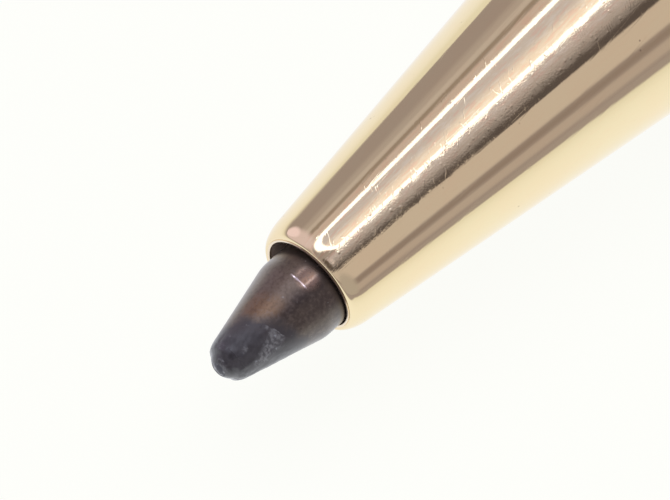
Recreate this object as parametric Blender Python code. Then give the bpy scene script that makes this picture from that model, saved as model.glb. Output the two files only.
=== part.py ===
"""Slim twist-action ballpoint pen with a gold-filled metal barrel, built piece by piece.

The pen is modelled along its own axis: height 0 is the mouth of the nose, the point reaches below it and
the barrel rises above it. Radii grow from the refill outwards and heights add up from the point, so each
piece takes its place from the pieces it fits. The empty pen_axis then lays the pen on its side, where it
rests on its barrel and its clip. Lengths are in metres and angles in degrees.
"""

import math

import bmesh
import bpy

# Refill
POINT_REACH = 0.00345
BALL_DIAMETER = 0.001
BALL_PLAY = 0.00004
BALL_SHOWING = 0.00026
SOCKET_WALL = 0.000097
POINT_HALF_ANGLE = 13.9
SHANK_DIAMETER = 0.0024
SHANK_CORNER_RADIUS = 0.0012
DUCT_DIAMETER = 0.0005
FEED_BORE_DIAMETER = 0.001
TAIL_DIAMETER = 0.002
TAIL_LENGTH = 0.0033
TUBE_DIAMETER = 0.0032
TUBE_WALL = 0.0003
TUBE_NECK_TAPER = 0.0006
REFILL_LENGTH = 0.099
PLUG_DIAMETER = 0.0035
PLUG_LENGTH = 0.011
PLUG_SPIGOT_LENGTH = 0.004
PLUG_VENT_DIAMETER = 0.0008
INK_HEADSPACE = 0.012
REFILL_LEAN = 0.0001
REFILL_LEAN_SIDE = 66.0

# Twist mechanism
TRAVEL = 0.0055
TWIST_DEGREES = 180.0
SOCKET_PLAY = 0.0002
SOCKET_DEPTH = 0.0075
CARRIER_WALL = 0.0006
PIN_DIAMETER = 0.0012
PIN_CHAMFER = 0.00012
PIN_SETBACK = 0.0045
GUIDE_WALL = 0.0004
CAM_WALL = 0.00055
CAM_LEAD_IN = 0.012
CARRIER_SPARE = 0.0008
END_PLUG_LENGTH = 0.0025
END_PLUG_FLANGE = 0.001
END_PLUG_BORE_DIAMETER = 0.0016
WASHER_SPACE = 0.0009
WASHER_THICKNESS = 0.0002
WASHER_WAVES = 3
SNAP_RING_THICKNESS = 0.0008
SNAP_RING_GROOVE = 0.0002
SNAP_RING_OPENING = 50.0
O_RING_GROOVE = 0.00015
O_RING_SETBACK = 0.0035
GUIDE_ENGAGEMENT = 0.012
COUPLING_LENGTH = 0.013

# Barrel and nose
MOUTH_PLAY = 0.000145
BUSH_EDGE_WALL = 0.00006
BUSH_WALL = 0.00025
BUSH_RECESS = 0.00003
BUSH_TAIL = 0.004
LIP_WALL = 0.0002
LIP_FLAT = 0.00002
BARREL_WALL = 0.00045
BARREL_EDGE = 0.00012
NOSE_HALF_ANGLE = 7.2
NOSE_BLEND_RADIUS = 0.08
SEAM_SETBACK = 0.02
CENTRE_RING_LENGTH = 0.0026
CENTRE_RING_GROOVE = 0.00025
TRIM_INSET = 0.00003

# Clip and finial
TOP_SPACE = 0.005
TOP_BUSH_LENGTH = 0.006
BAND_THICKNESS = 0.0014
STUD_DIAMETER = 0.003
STUD_SPARE = 0.0005
FINIAL_HEIGHT = 0.0046
FINIAL_FOOT = 0.0009
FINIAL_TAPER = 0.00035
FINIAL_CROWN_RADIUS = 0.0008
CLIP_LENGTH = 0.036
CLIP_THICKNESS = 0.0008
CLIP_TOP_WIDTH = 0.003
CLIP_END_WIDTH = 0.0022
CLIP_TOP_GAP = 0.0009
CLIP_END_GAP = 0.0006
CLIP_BEND_RADIUS = 0.0014
CLIP_INNER_RADIUS = 0.0005
CLIP_PAD_RADIUS = 0.0016
CLIP_PAD_GAP = 0.00025
CLIP_TONGUE = 0.0011
CLIP_TONGUE_PLAY = 0.00015
CLIP_EDGE = 0.00012

# Clearances: PRESS between pressed pieces, RUNNING where one turns or slides, SEAM between end faces
PRESS_GAP = 0.00003
RUNNING_GAP = 0.00005
SEAM_GAP = 0.0001

# Facets: sides of turned pieces, turn of one step along an arc and the least steps in one
SHELL_SIDES = 48
INNER_SIDES = 32
POINT_SIDES = 24
BALL_SEGMENTS = 16
BALL_RINGS = 10
ARC_STEP = 15.0
ARC_LEAST = 3
O_RING_STEP = 36.0
BLEND_STEPS = 10
SLOT_END_ANGLES = (85.0, 60.0, 30.0)
SHARP_ANGLE = 30.0

# How far a cutter runs past the wall it cuts, and the distance at which points are one
CUT_PAST = 0.0005
MERGE = 1e-7

# Radii, from the refill outwards
ball_radius = BALL_DIAMETER / 2
ball_socket_radius = ball_radius + BALL_PLAY
point_end_radius = ball_socket_radius + SOCKET_WALL
shank_radius = SHANK_DIAMETER / 2
tube_radius = TUBE_DIAMETER / 2
tube_bore = tube_radius - TUBE_WALL
tail_radius = TAIL_DIAMETER / 2
neck_bore = tail_radius + RUNNING_GAP
neck_radius = shank_radius + RUNNING_GAP
plug_radius = PLUG_DIAMETER / 2
socket_radius = plug_radius + SOCKET_PLAY
carrier_radius = socket_radius + CARRIER_WALL
guide_bore = carrier_radius + RUNNING_GAP
guide_radius = guide_bore + GUIDE_WALL
cam_bore = guide_radius + RUNNING_GAP
cam_radius = cam_bore + CAM_WALL
barrel_bore = cam_radius + RUNNING_GAP
barrel_radius = barrel_bore + BARREL_WALL
trim_radius = barrel_radius - TRIM_INSET
bush_bore = shank_radius + MOUTH_PLAY
bush_rear_bore = tube_radius + MOUTH_PLAY
lip_bore = bush_bore + BUSH_EDGE_WALL + PRESS_GAP
mouth_radius = lip_bore + LIP_WALL
lip_radius = LIP_WALL - LIP_FLAT
stud_radius = STUD_DIAMETER / 2
pin_radius = PIN_DIAMETER / 2
slot_half_width = pin_radius + RUNNING_GAP

# Nose: a straight cone that an arc of large radius carries into the barrel
nose_angle = math.radians(NOSE_HALF_ANGLE)
nose_slope = math.tan(nose_angle)
cone_meets_barrel = (barrel_radius - mouth_radius) / nose_slope
blend_tangent = NOSE_BLEND_RADIUS * math.tan(nose_angle / 2)
blend_start = cone_meets_barrel - blend_tangent * math.cos(nose_angle)
blend_end = cone_meets_barrel + blend_tangent
bore_slope = nose_slope - (BARREL_WALL - LIP_WALL) / blend_end
bush_seat = (bush_rear_bore + BUSH_WALL + PRESS_GAP - lip_bore) / bore_slope
bush_end = bush_seat + BUSH_TAIL

# Heights, from the point upwards
ball_height = ball_radius - POINT_REACH
tube_front = bush_seat + 2 * SEAM_GAP
shank_end = tube_front - SEAM_GAP
tail_end = shank_end + TAIL_LENGTH
neck_end = tail_end + SEAM_GAP
plug_end = REFILL_LENGTH - POINT_REACH
tube_back = plug_end - PLUG_LENGTH
spigot_front = tube_back - PLUG_SPIGOT_LENGTH
socket_floor = plug_end + SEAM_GAP
carrier_front = plug_end - SOCKET_DEPTH
pin_height = socket_floor + PIN_SETBACK
carrier_back = pin_height + PIN_SETBACK
cam_bottom = pin_height - CAM_LEAD_IN
end_plug_bottom = carrier_back + TRAVEL + CARRIER_SPARE
guide_top = end_plug_bottom + END_PLUG_LENGTH
cam_top = guide_top - WASHER_SPACE
end_plug_top = guide_top + SEAM_GAP + END_PLUG_FLANGE
snap_ring_bottom = cam_bottom - SEAM_GAP - SNAP_RING_THICKNESS
upper_bottom = snap_ring_bottom - SEAM_SETBACK
o_ring_height = upper_bottom + O_RING_SETBACK
centre_ring_top = upper_bottom - SEAM_GAP
centre_ring_bottom = centre_ring_top - CENTRE_RING_LENGTH
lower_top = centre_ring_bottom - SEAM_GAP
guide_bottom = lower_top - GUIDE_ENGAGEMENT
coupling_bottom = lower_top - COUPLING_LENGTH
top_bush_bottom = end_plug_top + TOP_SPACE
upper_top = top_bush_bottom + TOP_BUSH_LENGTH
band_bottom = upper_top + SEAM_GAP
band_top = band_bottom + BAND_THICKNESS
finial_bottom = band_top + SEAM_GAP
pen_top = finial_bottom + FINIAL_HEIGHT
stud_bottom = top_bush_bottom + STUD_SPARE

# Clip in its own side view, and the roll at which barrel and clip both touch the table
clip_outer_radius = barrel_radius + CLIP_TOP_GAP + CLIP_THICKNESS
clip_hinge_radius = barrel_radius - CLIP_TONGUE / 2
clip_hinge_height = (band_bottom + band_top) / 2
clip_corner_radius = math.hypot(clip_outer_radius, CLIP_TOP_WIDTH / 2)
clip_corner_angle = math.atan2(CLIP_TOP_WIDTH / 2, clip_outer_radius)
clip_roll = math.acos(barrel_radius / clip_corner_radius) + clip_corner_angle
clip_reach = clip_corner_radius * math.sin(clip_roll + clip_corner_angle)


def paint(name, colour, roughness, metallic):
    """A plain material: colour is linear red, green and blue."""
    material = bpy.data.materials.new(name)
    material.use_nodes = True
    shader = material.node_tree.nodes["Principled BSDF"]
    shader.inputs["Base Color"].default_value = (*colour, 1.0)
    shader.inputs["Roughness"].default_value = roughness
    shader.inputs["Metallic"].default_value = metallic
    material.diffuse_color = (*colour, 1.0)
    return material


def add_object(name, shape, material, parent):
    """Makes the finished bmesh an object under its parent, smooth except at its corners."""
    bmesh.ops.recalc_face_normals(shape, faces=shape.faces)
    mesh = bpy.data.meshes.new(name)
    shape.to_mesh(mesh)
    shape.free()
    mesh.shade_smooth()
    mesh.set_sharp_from_angle(angle=math.radians(SHARP_ANGLE))
    made = bpy.data.objects.new(name, mesh)
    made.parent = parent
    bpy.context.scene.collection.objects.link(made)
    if material:
        mesh.materials.append(material)
    return made


def add_empty(name, parent=None, location=(0, 0, 0), rotation=(0, 0, 0)):
    """A frame that pieces hang on."""
    made = bpy.data.objects.new(name, None)
    made.parent = parent
    made.location = location
    made.rotation_euler = rotation
    bpy.context.scene.collection.objects.link(made)
    return made


def arc(centre, radius, start, end, turn=ARC_STEP):
    """Points of (radius, height) on an arc, its angles in radians from the outward direction."""
    steps = max(ARC_LEAST, round(abs(end - start) / math.radians(turn)))
    points = []
    for step in range(steps + 1):
        angle = start + (end - start) * step / steps
        points.append((centre[0] + radius * math.cos(angle), centre[1] + radius * math.sin(angle)))
    return points


def turned(name, profile, material, parent, sides=INNER_SIDES):
    """Spins a profile of (radius, height) points; one that starts and ends on the axis is open there."""
    shape = bmesh.new()
    points = [shape.verts.new((radius, 0, height)) for radius, height in profile]
    edges = [shape.edges.new(pair) for pair in zip(points, points[1:])]
    if profile[0][0] > MERGE or profile[-1][0] > MERGE:
        edges.append(shape.edges.new((points[-1], points[0])))
    bmesh.ops.spin(
        shape,
        geom=points + edges,
        cent=(0, 0, 0),
        axis=(0, 0, 1),
        angle=2 * math.pi,
        steps=sides,
        use_merge=True,
    )
    bmesh.ops.remove_doubles(shape, verts=shape.verts, dist=MERGE)
    return add_object(name, shape, material, parent)


def tube_profile(inner, outer, bottom, top):
    """The square-cut wall of a plain tube."""
    return [(inner, bottom), (outer, bottom), (outer, top), (inner, top)]


def cut(target, cutter):
    """Takes the cutter out of the target and keeps it as a wire guide."""
    modifier = target.modifiers.new("cut_" + cutter.name, "BOOLEAN")
    modifier.operation = "DIFFERENCE"
    modifier.solver = "EXACT"
    modifier.object = cutter
    cutter.hide_render = True
    cutter.display_type = "WIRE"


def swept_slot(name, start, end, half_width, inner, outer, parent):
    """A cutter for a round-ended slot, from (angle, height) start to end, laid out on a tube's wall."""
    middle = (inner + outer) / 2
    rungs = max(1, round(SHELL_SIDES * abs(end[0] - start[0]) / (2 * math.pi)))
    run = (middle * (end[0] - start[0]), end[1] - start[1])
    length = math.hypot(*run)
    along = (run[0] / length, run[1] / length)
    across = (-along[1], along[0])
    round_end = []
    for angle in SLOT_END_ANGLES:
        turn = math.radians(angle)
        round_end.append((half_width * math.sin(turn), half_width * math.cos(turn)))
    ladder = [(-past, half) for past, half in round_end]
    ladder += [(length * rung / rungs, half_width) for rung in range(rungs + 1)]
    ladder += [(length + past, half) for past, half in reversed(round_end)]
    shape = bmesh.new()
    loops = []
    for distance, half in ladder:
        loop = []
        for side, radius in ((-1, inner), (-1, outer), (1, outer), (1, inner)):
            angle = start[0] + (along[0] * distance + across[0] * half * side) / middle
            height = start[1] + along[1] * distance + across[1] * half * side
            loop.append(shape.verts.new((radius * math.cos(angle), radius * math.sin(angle), height)))
        loops.append(loop)
    for near, far in zip(loops, loops[1:]):
        for corner in range(4):
            following = (corner + 1) % 4
            shape.faces.new((near[corner], near[following], far[following], far[corner]))
    shape.faces.new(loops[0])
    shape.faces.new(loops[-1])
    return add_object(name, shape, None, parent)


def cross_bar(name, radius, length, material, parent):
    """A round bar through the axis at the pin's height, along the axis's Y."""
    half = length / 2
    profile = [(0, -half), (radius - PIN_CHAMFER, -half), (radius, PIN_CHAMFER - half)]
    profile += [(radius, half - PIN_CHAMFER), (radius - PIN_CHAMFER, half), (0, half)]
    bar = turned(name, profile, material, parent, POINT_SIDES)
    bar.location = (0, 0, pin_height)
    bar.rotation_euler = (math.radians(90), 0, 0)
    return bar


def nose_radius(height):
    """Outer radius of the lower barrel."""
    if height <= blend_start:
        return mouth_radius + height * nose_slope
    if height >= blend_end:
        return barrel_radius
    drop = blend_end - height
    return barrel_radius - NOSE_BLEND_RADIUS + math.sqrt(NOSE_BLEND_RADIUS**2 - drop**2)


def shell_bore(height):
    """Inner radius of the lower barrel, whose wall thins towards the lip."""
    thinning = max(0.0, 1 - height / blend_end)
    return nose_radius(height) - BARREL_WALL + (BARREL_WALL - LIP_WALL) * thinning


def make_lower_barrel(material, parent):
    """Drawn shell with the cone nose and its rounded lip in one piece."""
    lip_centre = mouth_radius + lip_radius * (nose_slope - 1 / math.cos(nose_angle))
    blend_step = (blend_end - blend_start) / BLEND_STEPS
    blend = [blend_start + blend_step * step for step in range(BLEND_STEPS + 1)]
    outer = arc((lip_centre, lip_radius), lip_radius, -math.pi / 2, -nose_angle)
    outer += [(nose_radius(height), height) for height in blend]
    outer += [(barrel_radius, lower_top - BARREL_EDGE), (barrel_radius - BARREL_EDGE, lower_top)]
    inner = [(barrel_bore, lower_top)]
    inner += [(shell_bore(height), height) for height in reversed(blend)]
    inner += [(shell_bore(lip_radius), lip_radius), (lip_bore, 0)]
    return turned("lower_barrel", outer + inner, material, parent, SHELL_SIDES)


def make_nose_bushing(material, parent):
    """Brass bush that guides the point, with a seat that stops the refill tube."""
    seat_start = bush_seat - (bush_rear_bore - bush_bore)
    profile = [(bush_bore, BUSH_RECESS), (shell_bore(BUSH_RECESS) - PRESS_GAP, BUSH_RECESS)]
    profile += [(shell_bore(bush_end) - PRESS_GAP, bush_end), (bush_rear_bore, bush_end)]
    profile += [(bush_rear_bore, bush_seat), (bush_bore, seat_start)]
    return turned("nose_bushing", profile, material, parent)


def make_barrel_coupling(material, parent):
    """Sleeve pressed into the lower barrel that takes the mechanism."""
    profile = tube_profile(guide_radius + PRESS_GAP, barrel_bore - PRESS_GAP, coupling_bottom, lower_top)
    return turned("barrel_coupling", profile, material, parent)


def make_guide_sleeve(material, parent):
    """Inner tube of the mechanism: straight slots for the pin, grooves for O-ring and snap ring."""
    groove_floor = guide_radius - O_RING_GROOVE
    groove_half = o_ring_section() / 2 + RUNNING_GAP
    snap_floor = guide_radius - SNAP_RING_GROOVE
    snap_low = snap_ring_bottom - RUNNING_GAP
    snap_high = snap_ring_bottom + SNAP_RING_THICKNESS + RUNNING_GAP
    profile = [(guide_bore, guide_bottom), (guide_radius, guide_bottom)]
    for floor, low, high in (
        (groove_floor, o_ring_height - groove_half, o_ring_height + groove_half),
        (snap_floor, snap_low, snap_high),
    ):
        profile += [(guide_radius, low), (floor, low), (floor, high), (guide_radius, high)]
    profile += [(guide_radius, guide_top), (guide_bore, guide_top)]
    sleeve = turned("guide_sleeve", profile, material, parent)
    for side, quarter in (("a", math.pi / 2), ("b", -math.pi / 2)):
        slot = swept_slot(
            "guide_slot_" + side,
            (quarter, pin_height),
            (quarter, pin_height + TRAVEL),
            slot_half_width,
            guide_bore - CUT_PAST,
            guide_radius + CUT_PAST,
            parent,
        )
        cut(sleeve, slot)
    return sleeve


def make_cam_sleeve(material, parent):
    """Outer tube of the mechanism: two helical slots lift the pin by the travel over the twist."""
    sleeve = turned("cam_sleeve", tube_profile(cam_bore, cam_radius, cam_bottom, cam_top), material, parent)
    twist = math.radians(TWIST_DEGREES)
    for side, quarter in (("a", math.pi / 2), ("b", -math.pi / 2)):
        slot = swept_slot(
            "cam_slot_" + side,
            (quarter, pin_height),
            (quarter - twist, pin_height + TRAVEL),
            slot_half_width,
            cam_bore - CUT_PAST,
            cam_radius + CUT_PAST,
            parent,
        )
        cut(sleeve, slot)
    return sleeve


def make_carrier(material, parent):
    """Piston that holds the refill's rear end and slides in the guide sleeve."""
    profile = [(0, socket_floor), (socket_radius, socket_floor), (socket_radius, carrier_front)]
    profile += [(carrier_radius, carrier_front), (carrier_radius, carrier_back), (0, carrier_back)]
    carrier = turned("carrier", profile, material, parent)
    hole_length = 2 * (carrier_radius + CUT_PAST)
    hole = cross_bar("pin_hole", pin_radius + PRESS_GAP, hole_length, None, parent)
    cut(carrier, hole)
    return carrier


def make_carrier_pin(material, parent):
    """Cross pin that rides in the guide and cam slots."""
    length = 2 * (cam_radius - 2 * RUNNING_GAP)
    return cross_bar("carrier_pin", pin_radius, length, material, parent)


def make_end_plug(material, parent):
    """Flanged plug that closes the guide sleeve and holds the cam on it."""
    bore = END_PLUG_BORE_DIAMETER / 2
    body = guide_bore - PRESS_GAP
    flange = cam_radius - RUNNING_GAP
    flange_bottom = guide_top + SEAM_GAP
    profile = [(bore, end_plug_bottom), (body, end_plug_bottom), (body, flange_bottom)]
    profile += [(flange, flange_bottom), (flange, end_plug_top), (bore, end_plug_top)]
    return turned("end_plug", profile, material, parent)


def make_friction_washer(material, parent):
    """Waved spring washer between the cam sleeve and the end plug."""
    inner, outer = guide_radius + RUNNING_GAP, cam_radius - RUNNING_GAP
    middle = cam_top + WASHER_SPACE / 2
    wave = (WASHER_SPACE - WASHER_THICKNESS) / 2 - SEAM_GAP
    shape = bmesh.new()
    loops = []
    for side in range(SHELL_SIDES):
        angle = 2 * math.pi * side / SHELL_SIDES
        lift = middle + wave * math.sin(WASHER_WAVES * angle)
        corners = tube_profile(inner, outer, lift - WASHER_THICKNESS / 2, lift + WASHER_THICKNESS / 2)
        loops.append([shape.verts.new((r * math.cos(angle), r * math.sin(angle), z)) for r, z in corners])
    for near, far in zip(loops, loops[1:] + loops[:1]):
        for corner in range(4):
            following = (corner + 1) % 4
            shape.faces.new((near[corner], near[following], far[following], far[corner]))
    return add_object("friction_washer", shape, material, parent)


def make_snap_ring(material, parent):
    """Open ring in the guide sleeve's groove that the cam sleeve stands on."""
    inner = guide_radius - SNAP_RING_GROOVE + RUNNING_GAP
    outer = (cam_bore + cam_radius) / 2
    half_opening = math.radians(SNAP_RING_OPENING) / 2
    turn = 2 * math.pi - 2 * half_opening
    shape = bmesh.new()
    corners = tube_profile(inner, outer, snap_ring_bottom, snap_ring_bottom + SNAP_RING_THICKNESS)
    start = [(r * math.cos(half_opening), r * math.sin(half_opening), z) for r, z in corners]
    face = shape.faces.new([shape.verts.new(point) for point in start])
    bmesh.ops.spin(
        shape,
        geom=[face] + list(face.edges) + list(face.verts),
        cent=(0, 0, 0),
        axis=(0, 0, 1),
        angle=turn,
        steps=round(INNER_SIDES * turn / (2 * math.pi)),
        use_merge=False,
    )
    return add_object("snap_ring", shape, material, parent)


def o_ring_section():
    """Thickness of the O-ring, which fills the space between its groove and the upper barrel."""
    return barrel_bore - guide_radius + O_RING_GROOVE - 2 * RUNNING_GAP


def make_o_ring(material, parent):
    """Rubber ring that steadies the twist."""
    section = o_ring_section() / 2
    middle = barrel_bore - RUNNING_GAP - section
    last = 2 * math.pi - math.radians(O_RING_STEP)
    profile = arc((middle, o_ring_height), section, 0, last, O_RING_STEP)
    return turned("friction_o_ring", profile, material, parent)


def make_centre_ring(material, parent):
    """Trim ring at the twist joint, with one fine groove round it."""
    inner = guide_radius + PRESS_GAP
    edge = trim_radius - BARREL_EDGE
    middle = (centre_ring_bottom + centre_ring_top) / 2
    profile = [(inner, centre_ring_bottom), (edge, centre_ring_bottom)]
    profile += [(trim_radius, centre_ring_bottom + BARREL_EDGE), (trim_radius, middle - CENTRE_RING_GROOVE)]
    profile += [(trim_radius - CENTRE_RING_GROOVE, middle), (trim_radius, middle + CENTRE_RING_GROOVE)]
    profile += [(trim_radius, centre_ring_top - BARREL_EDGE), (edge, centre_ring_top)]
    profile += [(inner, centre_ring_top)]
    return turned("centre_ring", profile, material, parent, SHELL_SIDES)


def make_upper_barrel(material, parent):
    """Plain tube that the hand turns."""
    edge = barrel_radius - BARREL_EDGE
    profile = [(barrel_bore, upper_bottom), (edge, upper_bottom)]
    profile += [(barrel_radius, upper_bottom + BARREL_EDGE), (barrel_radius, upper_top - BARREL_EDGE)]
    profile += [(edge, upper_top), (barrel_bore, upper_top)]
    return turned("upper_barrel", profile, material, parent, SHELL_SIDES)


def make_top_bushing(material, parent):
    """Insert pressed into the upper barrel that takes the finial's stud."""
    profile = tube_profile(stud_radius + RUNNING_GAP, barrel_bore - PRESS_GAP, top_bush_bottom, upper_top)
    return turned("top_bushing", profile, material, parent)


def make_clip_band(material, parent):
    """Washer under the finial, notched for the clip's tongue."""
    profile = tube_profile(stud_radius + RUNNING_GAP, trim_radius, band_bottom, band_top)
    band = turned("clip_band", profile, material, parent, SHELL_SIDES)
    shape = bmesh.new()
    bmesh.ops.create_cube(shape, size=1)
    depth = CLIP_TONGUE + CLIP_TONGUE_PLAY
    width = CLIP_TOP_WIDTH + 2 * CLIP_TONGUE_PLAY
    size = (depth + CUT_PAST, width, BAND_THICKNESS + 2 * CUT_PAST)
    bmesh.ops.scale(shape, vec=size, verts=shape.verts)
    notch = add_object("tongue_notch", shape, None, parent)
    notch.location = (barrel_radius - depth / 2 + CUT_PAST / 2, 0, clip_hinge_height)
    cut(band, notch)
    return band


def clip_outline():
    """Side view of the clip as (radius, height) points: tongue, bend, arm and gripping pad."""
    tongue_top = band_top - CLIP_TONGUE_PLAY
    tongue_bottom = band_bottom + CLIP_TONGUE_PLAY
    tongue_end = barrel_radius - CLIP_TONGUE
    arm_end = clip_hinge_height - CLIP_LENGTH
    end_outer = barrel_radius + CLIP_END_GAP + CLIP_THICKNESS
    end_inner = barrel_radius + CLIP_END_GAP
    top_inner = barrel_radius + CLIP_TOP_GAP
    bend_centre = (clip_outer_radius - CLIP_BEND_RADIUS, tongue_top - CLIP_BEND_RADIUS)
    inner_centre = (top_inner - CLIP_INNER_RADIUS, tongue_bottom - CLIP_INNER_RADIUS)
    tip_radius = CLIP_THICKNESS / 2
    tip_centre = (end_outer - tip_radius, arm_end + tip_radius)
    pad_depth = CLIP_END_GAP - CLIP_PAD_GAP
    pad_half_angle = math.acos(1 - pad_depth / CLIP_PAD_RADIUS)
    pad_half_length = CLIP_PAD_RADIUS * math.sin(pad_half_angle)
    pad_centre = (end_inner + CLIP_PAD_RADIUS - pad_depth, arm_end + 2 * tip_radius + pad_half_length)
    outline = [(tongue_end, tongue_top)]
    outline += arc(bend_centre, CLIP_BEND_RADIUS, math.pi / 2, 0)
    outline += arc(tip_centre, tip_radius, 0, -math.pi)
    outline += arc(pad_centre, CLIP_PAD_RADIUS, math.pi + pad_half_angle, math.pi - pad_half_angle)
    outline += arc(inner_centre, CLIP_INNER_RADIUS, 0, math.pi / 2)
    outline += [(tongue_end, tongue_bottom)]
    return outline


def make_clip(material, parent):
    """Spring arm: its side view drawn out to its width, which narrows towards the free end."""
    shape = bmesh.new()
    points = []
    for radius, height in clip_outline():
        down = min(1.0, max(0.0, (clip_hinge_height - height) / CLIP_LENGTH))
        width = CLIP_TOP_WIDTH + (CLIP_END_WIDTH - CLIP_TOP_WIDTH) * down
        points.append((radius - clip_hinge_radius, width / 2, height - clip_hinge_height))
    sides = []
    for side in (-1, 1):
        sides.append([shape.verts.new((x, side * y, z)) for x, y, z in points])
    rims = [shape.faces.new(side) for side in sides]
    for here in range(len(points)):
        following = (here + 1) % len(points)
        shape.faces.new((sides[0][here], sides[0][following], sides[1][following], sides[1][here]))
    rim_edges = {edge for face in rims for edge in face.edges}
    bmesh.ops.recalc_face_normals(shape, faces=shape.faces)
    bmesh.ops.bevel(shape, geom=list(rim_edges), offset=CLIP_EDGE, segments=2, profile=0.5, affect="EDGES")
    clip = add_object("clip", shape, material, parent)
    clip.location = (clip_hinge_radius, 0, clip_hinge_height)
    return clip


def make_finial(material, parent):
    """Turned button with its stud, flat on top."""
    crown = FINIAL_CROWN_RADIUS
    top_radius = trim_radius - FINIAL_TAPER
    profile = [(0, stud_bottom), (stud_radius, stud_bottom), (stud_radius, finial_bottom)]
    profile += [(trim_radius - BARREL_EDGE, finial_bottom), (trim_radius, finial_bottom + BARREL_EDGE)]
    profile += [(trim_radius, finial_bottom + FINIAL_FOOT)]
    profile += arc((top_radius - crown, pen_top - crown), crown, 0, math.pi / 2)
    profile += [(0, pen_top)]
    return turned("finial", profile, material, parent, SHELL_SIDES)


def make_refill_point(material, parent):
    """Turned point: rim round the ball, cone, shank, the tail in the tube, and the ink duct through it."""
    slope = math.radians(POINT_HALF_ANGLE)
    end_centre = (0, point_end_radius - POINT_REACH)
    rim_height = BALL_SHOWING - POINT_REACH
    rim_angle = math.asin((rim_height - end_centre[1]) / point_end_radius)
    cone_foot = (point_end_radius * math.cos(slope), end_centre[1] - point_end_radius * math.sin(slope))
    cone_top = cone_foot[1] + (shank_radius - cone_foot[0]) / math.tan(slope)
    corner_centre = (
        shank_radius - SHANK_CORNER_RADIUS,
        cone_top + SHANK_CORNER_RADIUS * math.tan(slope / 2),
    )
    duct = DUCT_DIAMETER / 2
    socket_rim_angle = math.asin((rim_height - ball_height) / ball_socket_radius)
    socket_back_angle = math.acos(duct / ball_socket_radius)
    feed = FEED_BORE_DIAMETER / 2
    feed_start = shank_end - TAIL_LENGTH
    profile = arc(end_centre, point_end_radius, rim_angle, -slope)
    profile += arc(corner_centre, SHANK_CORNER_RADIUS, -slope, 0)
    profile += [(shank_radius, shank_end), (tail_radius, shank_end), (tail_radius, tail_end)]
    profile += [(feed, tail_end), (feed, feed_start), (duct, feed_start - duct)]
    profile += arc((0, ball_height), ball_socket_radius, socket_back_angle, socket_rim_angle)
    return turned("refill_point", profile, material, parent, POINT_SIDES)


def make_refill_ball(material, parent):
    """Writing ball, centred on its own origin."""
    shape = bmesh.new()
    bmesh.ops.create_uvsphere(shape, u_segments=BALL_SEGMENTS, v_segments=BALL_RINGS, radius=ball_radius)
    ball = add_object("refill_ball", shape, material, parent)
    ball.location = (0, 0, ball_height)
    return ball


def make_refill_tube(material, parent):
    """Metal ink tube, necked in front over the point's tail."""
    profile = [(neck_bore, tube_front), (neck_radius, tube_front)]
    profile += [(tube_radius, tube_front + TUBE_NECK_TAPER), (tube_radius, tube_back)]
    profile += [(tube_bore, tube_back), (tube_bore, neck_end + tube_bore - neck_bore), (neck_bore, neck_end)]
    return turned("refill_tube", profile, material, parent)


def make_ink_column(material, parent):
    """Ink paste in the tube, short of the plug."""
    radius = tube_bore - RUNNING_GAP
    bottom = neck_end + tube_bore - neck_bore + SEAM_GAP
    top = spigot_front - INK_HEADSPACE
    profile = [(0, bottom), (radius, bottom), (radius, top), (0, top)]
    return turned("ink_column", profile, material, parent, POINT_SIDES)


def make_refill_plug(material, parent):
    """Vented plastic end that closes the tube and sits in the carrier."""
    vent = PLUG_VENT_DIAMETER / 2
    spigot = tube_bore - PRESS_GAP
    collar = tube_back + SEAM_GAP
    profile = [(vent, spigot_front), (spigot, spigot_front), (spigot, collar)]
    profile += [(plug_radius, collar), (plug_radius, plug_end), (vent, plug_end)]
    return turned("refill_plug", profile, material, parent)


def main():
    for left in list(bpy.data.objects):
        bpy.data.objects.remove(left)

    gold = paint("gold_filled", (0.88, 0.72, 0.45), 0.12, 1.0)
    brass = paint("brass", (0.78, 0.57, 0.26), 0.3, 1.0)
    steel = paint("spring_steel", (0.55, 0.55, 0.56), 0.3, 1.0)
    point_metal = paint("tarnished_point", (0.16, 0.12, 0.1), 0.42, 1.0)
    carbide = paint("ball_carbide", (0.12, 0.12, 0.13), 0.25, 1.0)
    plastic = paint("black_plastic", (0.02, 0.02, 0.022), 0.45, 0.0)
    rubber = paint("black_rubber", (0.015, 0.015, 0.015), 0.8, 0.0)
    ink = paint("ink_paste", (0.01, 0.012, 0.03), 0.5, 0.0)

    # The pen lies along +X with its point towards -X. The box round it is centred over the origin.
    pen_axis = add_empty(
        "pen_axis",
        location=((POINT_REACH - pen_top) / 2, (clip_reach - barrel_radius) / 2, barrel_radius),
        rotation=(0, math.radians(90), 0),
    )
    upper_half = add_empty("upper_half", pen_axis, rotation=(0, 0, -clip_roll))
    # The refill leans in the mouth, down and towards -Y.
    side = math.radians(REFILL_LEAN_SIDE)
    leaning = (REFILL_LEAN * math.cos(side), -REFILL_LEAN * math.sin(side), 0)
    refill = add_empty("refill", pen_axis, leaning)
    mechanism = add_empty("mechanism", pen_axis)

    make_lower_barrel(gold, pen_axis)
    make_nose_bushing(brass, pen_axis)
    make_barrel_coupling(brass, pen_axis)
    make_centre_ring(gold, pen_axis)
    make_guide_sleeve(brass, mechanism)
    make_cam_sleeve(brass, mechanism)
    make_carrier(plastic, mechanism)
    make_carrier_pin(steel, mechanism)
    make_end_plug(brass, mechanism)
    make_friction_washer(steel, mechanism)
    make_snap_ring(steel, mechanism)
    make_o_ring(rubber, mechanism)
    make_upper_barrel(gold, upper_half)
    make_top_bushing(brass, upper_half)
    make_clip_band(gold, upper_half)
    make_clip(gold, upper_half)
    make_finial(gold, upper_half)
    make_refill_point(point_metal, refill)
    make_refill_ball(carbide, refill)
    make_refill_tube(brass, refill)
    make_ink_column(ink, refill)
    make_refill_plug(plastic, refill)


main()
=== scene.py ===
import math

import bmesh
import bpy
from mathutils import Matrix, Vector, noise


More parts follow.
